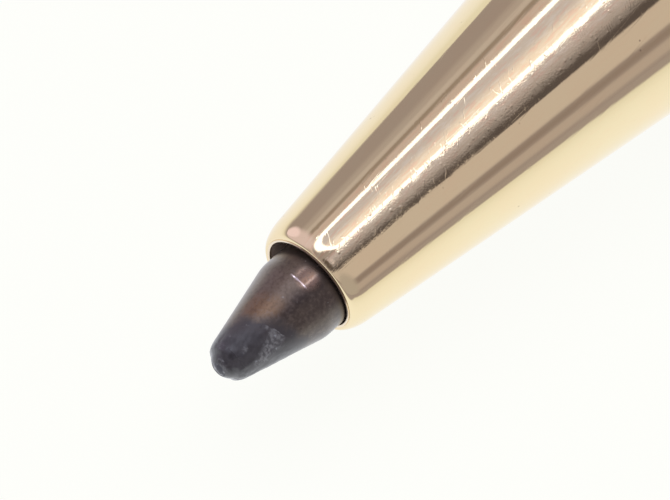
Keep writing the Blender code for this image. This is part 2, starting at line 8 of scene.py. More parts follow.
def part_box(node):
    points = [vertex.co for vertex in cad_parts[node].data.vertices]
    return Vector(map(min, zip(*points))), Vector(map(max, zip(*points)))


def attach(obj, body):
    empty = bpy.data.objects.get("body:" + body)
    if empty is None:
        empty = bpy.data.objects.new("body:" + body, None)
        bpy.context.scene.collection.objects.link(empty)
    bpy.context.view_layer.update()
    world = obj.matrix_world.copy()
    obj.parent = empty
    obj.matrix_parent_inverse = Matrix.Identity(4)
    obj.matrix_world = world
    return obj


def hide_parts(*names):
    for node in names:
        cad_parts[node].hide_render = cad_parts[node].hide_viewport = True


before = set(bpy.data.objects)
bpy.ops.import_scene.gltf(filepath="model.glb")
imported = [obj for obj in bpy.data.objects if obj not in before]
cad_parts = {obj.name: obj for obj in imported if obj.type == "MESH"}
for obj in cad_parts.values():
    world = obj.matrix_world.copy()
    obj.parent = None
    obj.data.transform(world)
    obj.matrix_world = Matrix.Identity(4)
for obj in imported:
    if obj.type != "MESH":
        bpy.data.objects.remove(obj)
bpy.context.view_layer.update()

# Sizes are in millimetres and angles in degrees, and places along the pen count from the mouth of
# its nose, unless a comment says otherwise. Colours are red, green, blue and opacity.
MM = 0.001

# Nose and barrel
LIP_BORE = 1.435
LIP_WALL = 0.2
LIP_EASE_LENGTH = 0.6
LIP_EASE_DEPTH = 0.19
LIP_INNER_DEPTH = 0.02
LIP_INNER_STEP = 0.03
BARREL_WALL = 0.45
NOSE_HALF_ANGLE = 7.2
NOSE_BLEND_RADIUS = 80.0
EDGE_EASE = 0.12
PRESS_GAP = 0.03
RING_BORE = 3.15
RING_GROOVE = 0.25
RING_GROOVE_EASE = 0.06

# Bush inside the mouth
BUSH_BORE = 1.345
BUSH_RIM_BORE = 1.335
BUSH_RIM_GAP = 0.034
BUSH_RIM_PROUD = 0.036
BUSH_RIM_EASE = 0.025
BUSH_SEAM_EASE = 0.01
BUSH_REAR_BORE = 1.745
BUSH_REAR_EASE = 0.05
BUSH_SEAT = 5.08

# Refill point and ball
SHANK_RADIUS = 1.2
SHANK_CORNER_RADIUS = 1.2
POINT_HALF_ANGLE = 13.9
POINT_END_RADIUS = 0.637
POINT_REACH = 3.45
RIM_HEIGHT = -3.19
TAIL_RADIUS = 1.0
TAIL_LENGTH = 3.3
DUCT_RADIUS = 0.25
BALL_RADIUS = 0.5
BALL_PLAY = 0.04

# Ink dried on the point: its slanting edge, with waves as (how many to a millimetre, depth), its
# lumps, with the fall, step and number of their octaves, and how its skin closes round the ball
INK_EDGE = -2.2
INK_EDGE_SLOPE = 0.62
INK_EDGE_WAVES = ((2.3, 0.12), (6.1, 0.06))
INK_EDGE_SOFTNESS = 0.3
INK_REACH = 1.1
INK_THICKNESS = 0.004
INK_LUMPS = 0.012
INK_LUMPS_PER_MM = 4.5
INK_LUMP_OCTAVES = (1.0, 2.0, 4)
INK_LUMP_LIFT = 0.35
INK_UNDER = 0.07
INK_CAP_INSET = 0.03
INK_CAP_ANGLES = (-70, -45)
INK_CAP_SHARE = 0.5
INK_INNER_GAP = 0.012
INK_INNER_ANGLES = (-38, -64)
INK_STAIN = (0.036, 0.031, 0.034, 1)

# Greasy film on the point: how rough it is, how much stays where it is wiped, and where that is, by
# the turn round the point in radians
FILM_ROUGHNESS = 0.35
FILM_LEFT = 0.25
FILM_WIPED_TURN = -0.3
FILM_WIPED_EDGE = (0.3, 1.2)

# Share of a speck that is full, and breaks in a scratch: their size by its length, and their edge
SPECK_CORE = 0.3
BREAK_SIZE = 0.7
BREAK_EDGE = (0.5, 0.62)

# Clip, its band and finial
CLIP_THICKNESS = 0.8
CLIP_TOP_WIDTH = 3.0
CLIP_END_WIDTH = 2.2
CLIP_TOP_GAP = 0.9
CLIP_END_GAP = 0.6
CLIP_BEND_RADIUS = 1.4
CLIP_INNER_RADIUS = 0.5
CLIP_PAD_RADIUS = 1.6
CLIP_PAD_GAP = 0.25
CLIP_LENGTH = 36.0
CLIP_TONGUE = 1.1
CLIP_TONGUE_PLAY = 0.15
CLIP_TONGUE_SHARES = (0.0, 0.04, 0.5)
CLIP_SQUARENESS = 0.32
STUD_RADIUS = 1.5
STUD_EASE = 0.1
BAND_PLAY = 0.05
BAND_EASE = 0.06
FINIAL_GAP = 0.1
FINIAL_FOOT = 0.9
FINIAL_SHOULDER = 0.3
FINIAL_TAPER = 0.35
FINIAL_CROWN = 0.8

# Facets round the pieces and steps along their curves
SIDES = 192
POINT_SIDES = 144
BALL_SIDES = 64
CLIP_SIDES = 40
EASE_STEPS = 6
LIP_STEPS = 24
BLEND_STEPS = 24
POINT_END_STEPS = 12
CONE_STEPS = 40
SHOULDER_STEPS = 16
SOCKET_STEPS = 16
BALL_STEPS = 32
INK_CAP_STEPS = 12
INK_INNER_STEPS = 10
FINIAL_STEPS = 10
CLIP_BEND_STEPS = 12
CLIP_ARM_STEPS = 120
CLIP_TIP_STEPS = 8
SHARP_ANGLE = 35.0
# An eased corner takes no more than this share of a side
EASE_SHARE = 0.49
# Points of a loop nearer than this, in metres, are one place
SAME_PLACE = 1e-9

# Camera: how far its view leans along the pen and rolls round it, where the mouth falls in the
# image, and the nearest and furthest that it sees, in metres
IMAGE_SIZE = (670, 500)
MOUTH_PIXEL = (308, 284)
PIXELS_PER_MM = 39.4
PEN_ANGLE_IN_IMAGE = 42.0
VIEW_LEAN = 24.04
VIEW_ROLL = 17.4
CAMERA_DISTANCE = 300.0
CAMERA_REACH = (0.01, 30.0)
SENSOR = 36.0

# Dim room with panels that run along the pen, by their bearing from straight up towards +Y: start,
# end, softness and colour
ROOM = (0.365, 0.325, 0.37, 1)
PANELS = (
    (-86.0, -75.0, 6.0, (0.49, 0.435, 0.47, 1)),
    (-73.5, -65.5, 6.0, (0.3, 0.255, 0.275, 1)),
    (-63.5, -34.0, 4.0, (0.6, 0.545, 0.575, 1)),
    (-35.0, -25.0, 1.5, (0.1, 0.086, 0.1, 1)),
    (-26.5, -20.0, 4.0, (0.27, 0.25, 0.3, 1)),
    (-20.5, -14.0, 4.0, (0.44, 0.41, 0.49, 1)),
    (-14.5, -6.0, 3.0, (0.56, 0.52, 0.65, 1)),
    (30.0, 42.0, 3.0, (0.6, 0.52, 0.58, 1)),
    (49.0, 64.0, 10.0, (0.45, 0.41, 0.46, 1)),
    (48.0, 55.0, 5.0, (0.55, 0.51, 0.57, 1)),
    (43.0, 48.0, 3.0, (0.33, 0.285, 0.29, 1)),
)
# What only the rounded lip mirrors: middle bearing and place along the pen, half sizes of each and
# colour. Their edge is in half sizes, squared. Here and for the lamp, a place along the pen is the
# x of a direction, from -1 to 1.
PATCHES = (
    (-78.0, -0.4, 38.0, 0.44, (0.47, 0.44, 0.468, 1)),
    (60.0, -0.4, 38.0, 0.45, (0.73, 0.63, 0.78, 1)),
    (78.0, -0.16, 17.0, 0.24, (0.92, 0.79, 1.02, 1)),
    (-14.0, -0.72, 17.0, 0.26, (0.12, 0.1, 0.1, 1)),
    (-17.0, -0.36, 6.0, 0.09, (0.76, 0.69, 0.82, 1)),
)
PATCH_EDGE = (1.15, 0.35)
# Loop lamp overhead: middle and half width across the pen, ends along it, how much lengths along it
# are squeezed, and the corners and the tube's edge in radians. Between the pinch places, towards
# the point, the loop shifts and narrows and its tube swells. The light inside changes by bearing.
LAMP_BEARING = 11.9
LAMP_HALF_WIDTH = 17.4
LAMP_ENDS = (-0.26, 1.2)
LAMP_SQUEEZE = 0.52
LAMP_CORNER = 0.31
LAMP_TUBE_EDGE = (0.0625, 0.02)
LAMP_PINCH_PLACES = (0.15, -0.4)
LAMP_PINCH_SHIFT = 7.0
LAMP_PINCH = 0.4
LAMP_SWELL = 2.0
LAMP_LIGHT = (1.9, 2.0, 2.4, 1)
LAMP_INSIDE_NEAR = (1.04, 0.97, 1.06, 1)
LAMP_INSIDE_FAR = (0.61, 0.59, 0.735, 1)
LAMP_INSIDE_BEARINGS = (0.0, 18.0)
LAMP_INSIDE_EDGE = (0.01, -0.01)
# Where the room ends below, by the z of a direction
HORIZON = (-0.02, -0.04)
# Card near the pen that shows part of the panels askew: bearings of its sides, distance, ends, and
# how far the panels lean between two places along it
CARD_BEARINGS = (-50.0, -12.5)
CARD_DISTANCE = 40.0
CARD_ENDS = (5.5, 250.0)
CARD_STEPS = 12
CARD_LEAN = 4.4
CARD_LEAN_ALONG = (6.0, 17.5)
# Broad soft lamp, in metres and watts
SOFT_LAMP_SIZE = 0.5
SOFT_LAMP_ENERGY = 2.0
SOFT_LAMP_PLACE = (0, 0.1, 0.6)
SOFT_LAMP_TILT = -9

# Table: half its width in metres, how far it lies below the pen, its paint, and how much of its
# look to the eye and in the metal is plain white
TABLE_HALF = 6.0
TABLE_DROP = 0.03
TABLE_MOTTLE = 12.0
TABLE_PAINT = ((0.84, 0.845, 0.82, 1), (0.86, 0.865, 0.84, 1))
TABLE_WHITE_SHARE = 0.95
# White sheet that the metal mirrors below: its colours, and the places across the pen, along Y,
# where they change and where the sheet ends
PAPER = (0.995, 1.0, 0.96, 1)
PAPER_NEAR = (0.98, 1.0, 1.06, 1)
PAPER_BRIGHT = (1.03, 1.06, 1.09, 1)
PAPER_FAR = (0.85, 0.86, 0.825, 1)
PAPER_MIDDLE = 5.0
PAPER_BRIGHT_EDGE = (3.0, -1.0)
PAPER_FADE = (4.0, 41.4)
PAPER_RIGHT_EDGE = (39.1, 55.2)
# Its left end: the place on the nose that mirrors it, as Y and height, how far below level it lies
# from there, in radians, and how it reaches further out with the distance behind the mouth
PAPER_LEFT_MIRROR = (2.2, 5.6)
PAPER_LEFT_DIP = (0.18, 0.0)
PAPER_LEFT_START = 0.9
PAPER_LEFT_DRIFT = 0.3
PAPER_LEFT_GAIN = 0.8
# Its corner ahead of the point: distance ahead of the mouth and Y
PAPER_CORNER_AHEAD = (8.0, 13.0)
PAPER_CORNER_EDGE = (-15.0, -25.0)

# Sockets of a Mix node that carry a colour
MIX_SHARE, MIX_UNDER, MIX_OVER, MIX_RESULT = 0, 6, 7, 2

low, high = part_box("lower_barrel")
mouth = low.x
pen_axis = ((low.y + high.y) / 2, (low.z + high.z) / 2)
mouth_middle = Vector((mouth, *pen_axis))
barrel_radius = (high.z - low.z) / 2 / MM
point_low, point_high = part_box("refill_point")
point_axis = ((point_low.y + point_high.y) / 2, (point_low.z + point_high.z) / 2)

nose_angle = math.radians(NOSE_HALF_ANGLE)
nose_slope = math.tan(nose_angle)
mouth_radius = LIP_BORE + LIP_WALL
cone_meets_barrel = (barrel_radius - mouth_radius) / nose_slope
blend_tangent = NOSE_BLEND_RADIUS * math.tan(nose_angle / 2)
blend_start = cone_meets_barrel - blend_tangent * math.cos(nose_angle)
blend_end = cone_meets_barrel + blend_tangent
point_end_middle = POINT_END_RADIUS - POINT_REACH
ball_middle = BALL_RADIUS - POINT_REACH


def metres(sizes):
    return [size * MM for size in sizes]


class Wire:
    """A value in a node tree. Arithmetic on it adds Math nodes."""

    def __init__(self, finish, socket):
        self.finish = finish
        self.socket = socket

    def __add__(self, other):
        return self.finish.math("ADD", self, other)

    def __sub__(self, other):
        return self.finish.math("SUBTRACT", self, other)

    def __rsub__(self, other):
        return self.finish.math("SUBTRACT", other, self)

    def __mul__(self, other):
        return self.finish.math("MULTIPLY", self, other)

    def __truediv__(self, other):
        return self.finish.math("DIVIDE", self, other)

    def __rtruediv__(self, other):
        return self.finish.math("DIVIDE", other, self)

    def __pow__(self, other):
        return self.finish.math("POWER", self, other)

    def __rpow__(self, other):
        return self.finish.math("POWER", other, self)

    def __abs__(self):
        return self.finish.math("ABSOLUTE", self)

    __radd__ = __add__
    __rmul__ = __mul__

    def least(self, other):
        return self.finish.math("MINIMUM", self, other)

    def most(self, other):
        return self.finish.math("MAXIMUM", self, other)

    def rise(self, start, end):
        """0 before start and 1 after end, with a smooth step between; start may be the larger."""
        return self.finish.node(
            "ShaderNodeMapRange",
            {"interpolation_type": "SMOOTHSTEP"},
            {"Value": self, "From Min": start, "From Max": end},
        )

    def near(self, middle, outside, inside):
        """1 within inside of a middle value and 0 beyond outside of it."""
        return abs(self - middle).rise(outside, inside)

    def off(self, middle, half):
        """Distance from a middle value in half sizes, squared."""
        return ((self - middle) / half) ** 2


class Finish:
    """A material, or the world, wired node by node."""

    def __init__(self, owner):
        owner.use_nodes = True
        self.owner = owner
        self.tree = owner.node_tree
        self.tree.nodes.clear()

    def node(self, kind, settings=None, sockets=None, output=0):
        """Adds a node, sets it up, then fills or links its sockets; gives one of its outputs."""
        made = self.tree.nodes.new(kind)
        for name, value in (settings or {}).items():
            setattr(made, name, value)
        for name, value in (sockets or {}).items():
            if isinstance(value, Wire):
                self.tree.links.new(value.socket, made.inputs[name])
            else:
                made.inputs[name].default_value = value
        return Wire(self, made.outputs[output]) if made.outputs else None

    def math(self, operation, *values):
        return self.node("ShaderNodeMath", {"operation": operation}, dict(enumerate(values)))

    def blend(self, share, under, over):
        """A colour between two colours."""
        sockets = {MIX_SHARE: share, MIX_UNDER: under, MIX_OVER: over}
        return self.node("ShaderNodeMix", {"data_type": "RGBA"}, sockets, MIX_RESULT)

    def place(self):
        return self.node("ShaderNodeTexCoord", output="Object")

    def parts(self, vector):
        split = self.node("ShaderNodeSeparateXYZ", None, {0: vector})
        return [Wire(self, socket) for socket in split.socket.node.outputs]

    def along(self):
        """How far a spot lies behind the mouth, in millimetres."""
        return (self.parts(self.place())[0] - mouth) / MM

    def turn(self, axis):
        """Angle of a spot about a lengthwise axis, from straight up towards +Y, in radians."""
        y, z = self.parts(self.place())[1:]
        return self.math("ARCTAN2", y - axis[0], z - axis[1])

    def bearing(self):
        """Angle of a spot about the pen's axis, in degrees."""
        return self.turn(pen_axis) * math.degrees(1)

    def unrolled(self):
        """The pen's skin laid flat, along the pen and round it."""
        ahead = self.parts(self.place())[0] - mouth
        aside = self.turn(pen_axis) * (barrel_radius * MM / 2)
        return self.node("ShaderNodeCombineXYZ", None, {"X": ahead, "Y": aside})

    def above_ink(self):
        """How far a spot on the point lies above the ink's edge, in millimetres."""
        lift = self.math("SINE", self.turn(point_axis))
        return self.along() - INK_EDGE + INK_EDGE_SLOPE * lift

    def film(self):
        """Greasy film on the point, wiped thin on top."""
        off_wiped = abs(self.turn(point_axis) - FILM_WIPED_TURN)
        return FILM_LEFT + (1 - FILM_LEFT) * off_wiped.rise(*FILM_WIPED_EDGE)

    def grain(self, vector, size, detail=2.0, roughness=0.5):
        """Cloudy noise whose blotches are about size millimetres across."""
        sockets = {
            "Vector": vector,
            "Scale": 1 / (size * MM),
            "Detail": detail,
            "Roughness": roughness,
        }
        return self.node("ShaderNodeTexNoise", None, sockets)

    def specks(self, vector, spacing, size):
        """Small round specks, 1 at their middle, scattered about spacing millimetres apart."""
        sockets = {"Vector": vector, "Scale": 1 / (spacing * MM)}
        distance = self.node("ShaderNodeTexVoronoi", None, sockets, "Distance")
        return distance.rise(size / spacing, SPECK_CORE * size / spacing)

    def streaks(self, flat, lean, length, spacing, seed, detail=0.0):
        """Noise drawn out along a line that leans from the pen's length."""
        sockets = {
            "Vector": flat,
            "Location": (seed * MM, 0, seed * MM),
            "Rotation": (0, 0, math.radians(lean)),
            "Scale": (length * MM, spacing * MM, MM),
        }
        drawn = self.node("ShaderNodeMapping", {"vector_type": "TEXTURE"}, sockets)
        sockets = {"Vector": drawn, "Scale": 1.0, "Detail": detail}
        return self.node("ShaderNodeTexNoise", None, sockets)

    def hairlines(self, flat, lean, length, spacing, width, seed):
        """Fine broken scratches that lean from the pen's length, about so long and so far apart."""
        lines = self.streaks(flat, lean, length, spacing, seed)
        breaks = self.grain(flat, size=BREAK_SIZE * length, detail=1.0).rise(*BREAK_EDGE)
        return abs(lines - 0.5).rise(width, 0.0) * breaks

    def surface(self, colour, roughness, metallic, relief, depth, film=0.0):
        """Closes the material with its shader.

        Relief runs from 0 to 1 over depth millimetres; film is a dull varnish.
        """
        bumps = {"Height": relief, "Distance": depth * MM, "Strength": 1.0}
        sockets = {
            "Base Color": colour,
            "Roughness": roughness,
            "Metallic": metallic,
            "Normal": self.node("ShaderNodeBump", None, bumps),
            "Coat Weight": film,
            "Coat Roughness": FILM_ROUGHNESS,
        }
        shader = self.node("ShaderNodeBsdfPrincipled", None, sockets)
        self.node("ShaderNodeOutputMaterial", None, {"Surface": shader})
        return self.owner


def new_finish(name):
    return Finish(bpy.data.materials.new(name))


def gold_filled():
    """Polished rolled gold: fine peel and hairlines all over, a rubbed side full of nicks."""
    yellow = (0.9, 0.757, 0.485, 1)
    warm = (0.905, 0.745, 0.475, 1)
    rosy = (0.93, 0.67, 0.43, 1)
    pale = (0.95, 0.83, 0.57, 1)
    pitted = (0.42, 0.33, 0.22, 1)
    finish = new_finish("gold_filled")
    place = finish.place()
    flat = finish.unrolled()
    bearing = finish.bearing()
    rubbed = bearing.near(middle=-19.5, outside=8.5, inside=4.0)
    handled = bearing.near(middle=-3.0, outside=22.0, inside=8.0)
    flecked = bearing.near(middle=-15.0, outside=16.0, inside=7.0)

    peel = finish.grain(place, size=0.22, detail=3.0)
    speckle = finish.grain(place, size=0.05, detail=3.0)
    wear_and_highlight = finish.grain(place, size=0.5).rise(0.3, 0.6)
    nicks = finish.specks(place, spacing=0.19, size=0.06)
    nicks = nicks * finish.grain(place, size=0.6).rise(0.45, 0.6)
    pits = finish.specks(place, spacing=0.5, size=0.04)
    pits = pits * finish.grain(place, size=2.0).rise(0.5, 0.6)
    glints = finish.hairlines(flat, lean=57.0, length=0.6, spacing=0.18, width=0.045, seed=17.0)
    glints = glints * finish.grain(place, size=0.9).rise(0.48, 0.6)
    flecks = finish.hairlines(flat, lean=66.0, length=0.45, spacing=0.13, width=0.055, seed=29.0)
    flecks = flecks * finish.grain(place, size=0.7).rise(0.41, 0.5)
    crossing = finish.hairlines(flat, lean=76.0, length=0.4, spacing=0.07, width=0.05, seed=3.0)
    leaning = finish.hairlines(flat, lean=42.0, length=0.6, spacing=0.11, width=0.04, seed=11.0)
    lengthwise = finish.hairlines(flat, lean=4.0, length=2.2, spacing=0.14, width=0.035, seed=7.0)
    scratches = crossing * (0.1 + 0.9 * rubbed) + leaning * (0.15 + 0.5 * rubbed)
    scratches = (scratches + lengthwise * 0.5).least(1.0)
    relief = peel * 0.16 + scratches * 0.3 + nicks * (0.4 * handled + 1.3 * rubbed)
    relief = relief + glints * (0.1 + 1.2 * handled) + flecks * 1.2 * flecked
    relief = relief + speckle * (0.04 + 0.2 * handled + 1.9 * rubbed * wear_and_highlight)

    drawn = finish.streaks(flat, lean=2.0, length=0.45, spacing=0.07, seed=5.0, detail=3.0)
    colour = finish.blend(finish.grain(place, size=1.3).rise(0.35, 0.7), yellow, warm)
    colour = finish.blend(drawn.rise(0.52, 0.62) * (0.1 + 0.7 * handled), colour, rosy)
    colour = finish.blend(drawn.rise(0.47, 0.38) * 0.6 * handled, colour, pale)
    colour = finish.blend(pits * 0.8, colour, pitted)
    dull = finish.grain(place, size=0.6, detail=3.0)
    roughness = 0.045 + 0.04 * dull + 0.07 * scratches + 0.05 * rubbed
    return finish.surface(colour, roughness, metallic=1.0, relief=relief, depth=0.0016)


def turned_brass():
    """Plain brass straight off the lathe, dulled in blotches."""
    bright = (0.78, 0.57, 0.27, 1)
    dull = (0.5, 0.34, 0.15, 1)
    feed = 0.07 * MM
    finish = new_finish("turned_brass")
    place = finish.place()
    rings = finish.math("SINE", finish.parts(place)[0] * (2 * math.pi / feed))
    dulled = finish.grain(place, size=1.6, detail=4.0).rise(0.4, 0.7)
    colour = finish.blend(dulled, bright, dull)
    return finish.surface(colour, 0.22 + 0.2 * dulled, 1.0, rings * 0.5 + 0.5, depth=0.0012)


def bush_brass_painted_shade():
    """Brass of the bush: rim bare at the sides; across the middle, where it lies in partial shade,
    lifted paler and pinker as painted light, with a painted dark line of shade at its outer seam;
    bore dull.
    """
    bare_and_highlight = (0.88, 0.74, 0.56, 1)
    # Next two colours: the rim's shaded middle lifted paler as painted light, and painted shade
    # along its seam with the lip.
    lifted_in_shade = (0.92, 0.78, 0.67, 1)
    seam_shade_colour = (0.3, 0.22, 0.16, 1)
    dull = (0.8, 0.66, 0.56, 1)
    rim_radius = LIP_BORE - BUSH_RIM_GAP
    seam_edge = (rim_radius - 0.045, rim_radius - 0.02)
    finish = new_finish("bush_brass_painted_shade")
    place = finish.place()
    y, z = finish.parts(place)[1:]
    off_axis = ((y - pen_axis[0]) ** 2 + (z - pen_axis[1]) ** 2) ** 0.5 / MM
    cloud = finish.grain(place, size=0.3, detail=4.0, roughness=0.6)
    deep = finish.along().rise(0.03, 0.1)
    # The middle of the rim, where it lies in partial shade: its colour is lifted paler and pinker
    # there as painted light against that shade, and it is rougher.
    shaded_stretch = (abs(finish.bearing() + 22.0) + 16.0 * cloud).rise(56.0, 44.0)
    # Painted shade: a dark line along the rim's outer edge, at its seam with the lip, across that
    # shaded middle.
    painted_seam_shade = shaded_stretch * off_axis.rise(*seam_edge)
    colour = finish.blend(shaded_stretch, bare_and_highlight, lifted_in_shade)
    colour = finish.blend(painted_seam_shade, colour, seam_shade_colour)
    colour = finish.blend(deep, colour, dull)
    roughness = 0.2 + 0.2 * shaded_stretch.most(deep) + 0.2 * deep
    return finish.surface(colour, roughness, 1.0 - 0.7 * deep, cloud, depth=0.003)


def spring_steel():
    """Grey spring steel with a faint drawn grain and a little heat tint."""
    grey = (0.55, 0.55, 0.56, 1)
    straw = (0.5, 0.47, 0.42, 1)
    finish = new_finish("spring_steel")
    place = finish.place()
    grain = finish.grain(place, size=0.15, detail=4.0)
    tint = finish.grain(place, size=1.2).rise(0.5, 0.7)
    colour = finish.blend(tint, grey, straw)
    return finish.surface(colour, 0.25 + 0.15 * grain, 1.0, grain, depth=0.002)


def tarnished_point():
    """Old turned point: brown tarnish, a lighter brown on its upper-left side that is painted
    light, a coppery rub, a thin bright line on its rubbed corner that is a painted highlight,
    darker towards the mouth, and an ink stain.
    """
    dark = (0.1, 0.08, 0.071, 1)
    dull = (0.137, 0.11, 0.09, 1)
    # The next colour is the lighter brown painted on the lit upper-left side.
    brown = (0.18, 0.136, 0.102, 1)
    copper = (0.25, 0.155, 0.088, 1)
    polish = (0.42, 0.27, 0.19, 1)
    pale_grain = (0.22, 0.178, 0.148, 1)
    dark_grain = (0.07, 0.055, 0.05, 1)
    # The next colour darkens the point towards the mouth.
    by_mouth_colour = (0.105, 0.085, 0.073, 1)
    # The next colour is the bright metal of the painted highlight line on the rubbed corner.
    bare_and_highlight = (0.95, 0.8, 0.78, 1)
    pale_dust = (0.36, 0.34, 0.32, 1)
    finish = new_finish("tarnished_point")
    place = finish.place()
    along = finish.along()
    turn = finish.turn(point_axis)
    cloud = finish.grain(place, size=0.6, detail=4.0, roughness=0.6)
    fine = finish.grain(place, size=0.1, detail=4.0, roughness=0.6)

    # Painted light: a lighter brown over the upper-left side, where the point mirrors the white
    # floor.
    lit_side = (turn + 0.5 * cloud).rise(-0.25, 0.25)
    off_rub = (along + 0.3 * turn).off(middle=-1.6, half=0.5) + turn.off(middle=0.25, half=0.6)
    coppery = (off_rub + 1.6 * cloud + 0.6 * fine).rise(2.2, 1.1)
    off_polish = along.off(middle=-0.4, half=0.29) + turn.off(middle=-0.13, half=0.25)
    polished = (off_polish + cloud).rise(2.5, 0.5)
    stained = (finish.above_ink() + 0.8 * cloud - 0.4).rise(0.45, 0.0)
    # Darker towards the mouth, on the shank by and inside the bush.
    darker_by_mouth = (along + 0.15 * cloud).rise(-0.24, 0.02)
    # Painted highlight: a thin bright line round part of the corner, where the lamp's reflection
    # crosses it; the strip is also rubbed smoother.
    off_corner = abs(along + 0.6 + 0.06 * cloud) + 0.04 * fine
    wear_and_highlight = off_corner.rise(0.055, 0.025) * turn.near(middle=-0.03, outside=0.27, inside=0.14)
    dust = finish.specks(place, spacing=0.2, size=0.03)
    dust = dust * finish.grain(place, size=0.5).rise(0.52, 0.62)

    colour = finish.blend(cloud.rise(0.35, 0.65), dark, dull)
    colour = finish.blend(lit_side, colour, brown)
    colour = finish.blend(coppery * 0.9, colour, copper)
    colour = finish.blend(polished * 0.7, colour, polish)
    colour = finish.blend(fine.rise(0.48, 0.66) * 0.45, colour, pale_grain)
    colour = finish.blend(fine.rise(0.5, 0.34) * 0.4, colour, dark_grain)
    colour = finish.blend(darker_by_mouth * 0.8, colour, by_mouth_colour)
    colour = finish.blend(wear_and_highlight * 0.8, colour, bare_and_highlight)
    colour = finish.blend(stained, colour, INK_STAIN)
    colour = finish.blend(dust * 0.7, colour, pale_dust)
    roughness = (0.34 + 0.1 * fine) * (1.0 - 0.75 * polished.most(wear_and_highlight)) + 0.1 * stained
    relief = cloud * 0.3 + fine * 0.35
    metallic = 1.0 - 0.9 * stained
    return finish.surface(colour, roughness, metallic, relief, depth=0.003, film=finish.film())


def dried_ink():
    """Blue-black ink in a lumpy skin that thins to a stain, dusted pale; smooth round the ball."""
    dark = (0.025, 0.0235, 0.027, 1)
    lighter = (0.042, 0.04, 0.045, 1)
    dust = (0.185, 0.189, 0.194, 1)
    pale_lint = (0.3, 0.32, 0.35, 1)
    finish = new_finish("dried_ink")
    place = finish.place()
    along = finish.along()
    turn = finish.turn(point_axis)
    lumps = finish.grain(place, size=0.25, detail=5.0, roughness=0.62)
    fine = finish.grain(place, size=0.09, detail=3.0)

    off_dust = (along - 1.15 * (turn + 0.9)).off(middle=-2.16, half=0.36)
    off_dust = off_dust + turn.off(middle=-0.8, half=0.6)
    scattered = finish.grain(place, size=0.42, detail=3.0).rise(0.56, 0.68) * 0.5
    dusty = (off_dust + 3.4 * lumps).rise(3.9, 1.5).most(scattered)
    lint = finish.specks(place, spacing=0.15, size=0.05) * dusty
    tip = along.rise(-2.85, -3.15)

    colour = finish.blend(lumps.rise(0.35, 0.65), dark, lighter)
    colour = finish.blend(finish.above_ink().rise(-0.45, -0.05), colour, INK_STAIN)
    colour = finish.blend(dusty * (0.2 + 0.7 * fine.rise(0.4, 0.62)), colour, dust)
    colour = finish.blend(lint * fine.rise(0.4, 0.6) * 0.7, colour, pale_lint)
    roughness = (0.38 + 0.2 * fine) * (1.0 - 0.55 * tip)
    relief = (lumps * 0.6 + fine * 0.4) * (1.0 - 0.8 * tip)
    return finish.surface(colour, roughness, 0.0, relief, depth=0.014, film=finish.film())


def carbide_ball():
    """Hard grey ball with a film of ink over it."""
    grey = (0.34, 0.34, 0.35, 1)
    inky = (0.06, 0.06, 0.07, 1)
    finish = new_finish("carbide_ball")
    film = finish.grain(finish.place(), size=0.3, detail=4.0).rise(0.35, 0.6)
    colour = finish.blend(film, grey, inky)
    return finish.surface(colour, 0.16 + 0.2 * film, 1.0 - 0.5 * film, film, depth=0.002)


def moulded_black(name, dark, pale, size, roughness):
    """Black plastic or rubber with a fine moulded grain."""
    finish = new_finish(name)
    grain = finish.grain(finish.place(), size=size, detail=4.0, roughness=0.6)
    colour = finish.blend(grain.rise(0.4, 0.7), dark, pale)
    return finish.surface(colour, roughness + 0.15 * grain, 0.0, grain, depth=0.006)


def ink_paste():
    """Thick blue-black ink, wet, with small air bubbles."""
    dark = (0.008, 0.009, 0.02, 1)
    blue = (0.016, 0.018, 0.045, 1)
    finish = new_finish("ink_paste")
    place = finish.place()
    cloud = finish.grain(place, size=1.0, detail=3.0)
    bubbles = finish.specks(place, spacing=0.7, size=0.12)
    colour = finish.blend(cloud, dark, blue)
    return finish.surface(colour, 0.12 + 0.1 * bubbles, 0.0, bubbles, depth=0.01)


def skin(name, points, faces, material):
    """A mesh as an object, smooth except at its corners."""
    mesh = bpy.data.meshes.new(name)
    mesh.from_pydata(points, [], faces)
    shape = bmesh.new()
    shape.from_mesh(mesh)
    bmesh.ops.recalc_face_normals(shape, faces=shape.faces)
    shape.to_mesh(mesh)
    shape.free()
    mesh.shade_smooth()
    mesh.set_sharp_from_angle(angle=math.radians(SHARP_ANGLE))
    mesh.materials.append(material)
    made = bpy.data.objects.new(name, mesh)
    bpy.context.scene.collection.objects.link(made)
    return made


def dress(piece, body, slot, *nodes):
    """Hangs a piece on its body in place of its solids."""
    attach(piece, body)
    if nodes:
        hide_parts(*nodes)


def loft(name, loops, material, closed):
    """Joins loops of as many points each.

    Closed joins the last loop to the first; a loop whose points are one place closes an end.
    """
    points = []
    rows = []
    for loop in loops:
        if max((Vector(point) - Vector(loop[0])).length for point in loop) < SAME_PLACE:
            rows.append([len(points)] * len(loop))
            points.append(loop[0])
        else:
            rows.append(list(range(len(points), len(points) + len(loop))))
            points += loop
    faces = []
    for near, far in zip(rows, rows[1:] + (rows[:1] if closed else [])):
        for here in range(len(near)):
            following = (here + 1) % len(near)
            corners = (near[here], near[following], far[following], far[here])
            face = list(dict.fromkeys(corners))
            if len(face) > 2:
                faces.append(face)
    return skin(name, points, faces, material)


def spot(along, radius, angle, axis):
    """A place by its distance behind the mouth and its reach from a lengthwise axis."""
    reach = radius * MM
    return (
        mouth + along * MM,
        axis[0] + reach * math.sin(angle),
        axis[1] + reach * math.cos(angle),
    )


def angles_round(sides):
    return [2 * math.pi * side / sides for side in range(sides)]


def turned(name, outline, material, axis=pen_axis, sides=SIDES):
    """Spins an outline of (along, radius) about the pen's axis or another."""
    angles = angles_round(sides)
    loops = [[spot(along, radius, angle, axis) for angle in angles] for along, radius in outline]
    return loft(name, loops, material, outline[0][1] > 0 or outline[-1][1] > 0)


